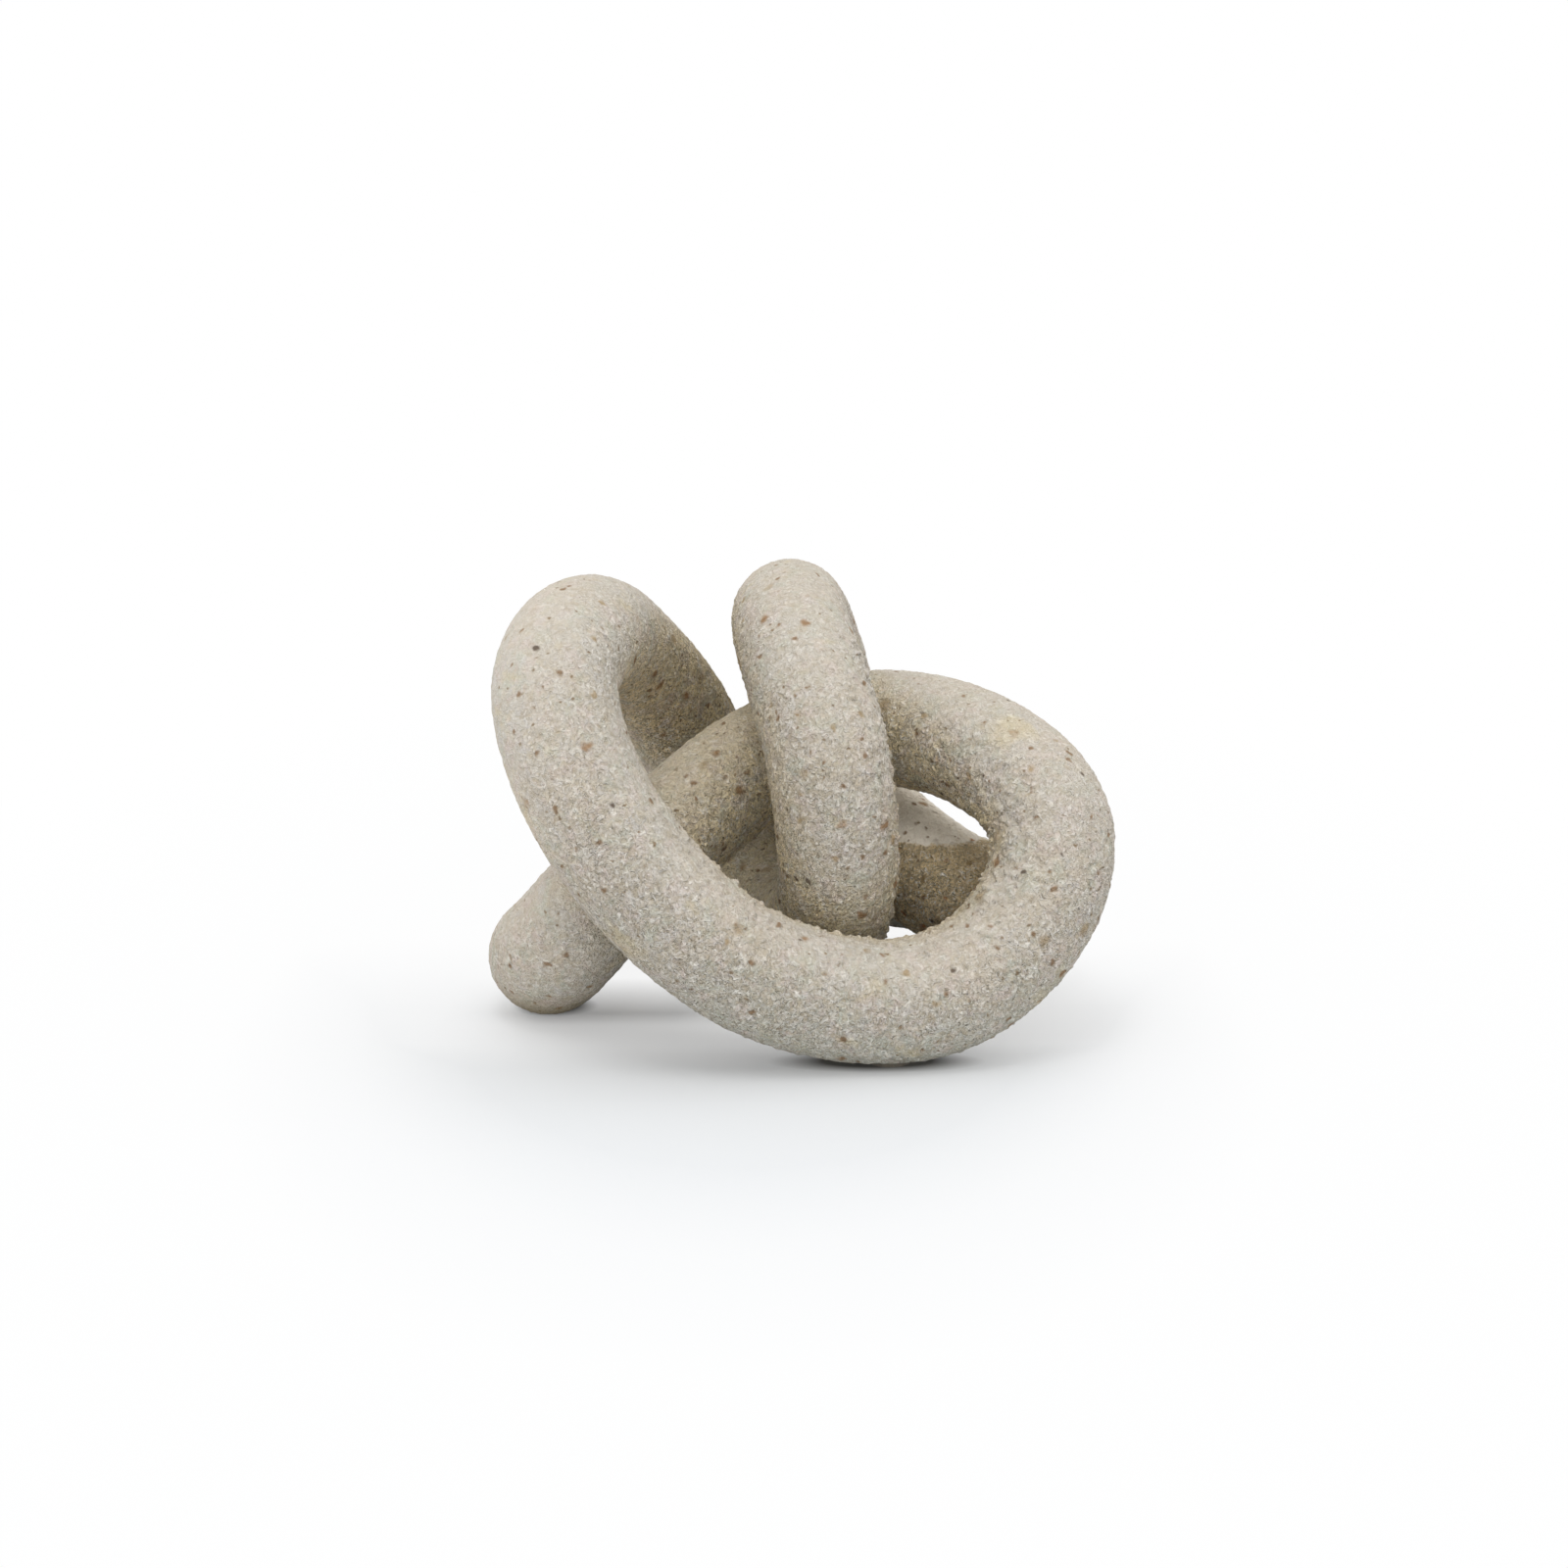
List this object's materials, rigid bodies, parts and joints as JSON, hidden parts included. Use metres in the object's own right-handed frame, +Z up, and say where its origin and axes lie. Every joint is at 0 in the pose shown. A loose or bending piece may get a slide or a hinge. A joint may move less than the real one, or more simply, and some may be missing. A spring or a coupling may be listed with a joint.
{
  "type": "knot sculpture",
  "caption": "Thick round strand closed on itself in a loose knot, cast in sandy stone-coloured lengths doweled end to end, standing on low felt pads.",
  "frame": {"origin": "on the table top under the middle of the knot, midway across its width and its depth to within a millimetre", "axes": "+Z up, +X to the viewer's right and +Y away from the viewer in the picture; the front diagonal strand faces -Y"},
  "size_m": [0.1546, 0.1577, 0.1118],
  "materials": {
    "cast_stone": "matte, fine sandy grain with small brown flecks",
    "dowel_steel": "bright drawn steel",
    "felt": "pressed felt"
  },
  "bodies": {
    "root": {"left_bow": "cast_stone", "front_sweep": "cast_stone", "right_bow": "cast_stone", "cross_strand": "cast_stone", "foot_bend": "cast_stone", "rear_run": "cast_stone", "side_bend": "cast_stone", "inner_rise": "cast_stone", "top_arch": "cast_stone", "front_drop": "cast_stone", "under_bend": "cast_stone", "back_rise": "cast_stone", "dowels": "dowel_steel", "felt_pads": "felt"}
  },
  "joints": []
}
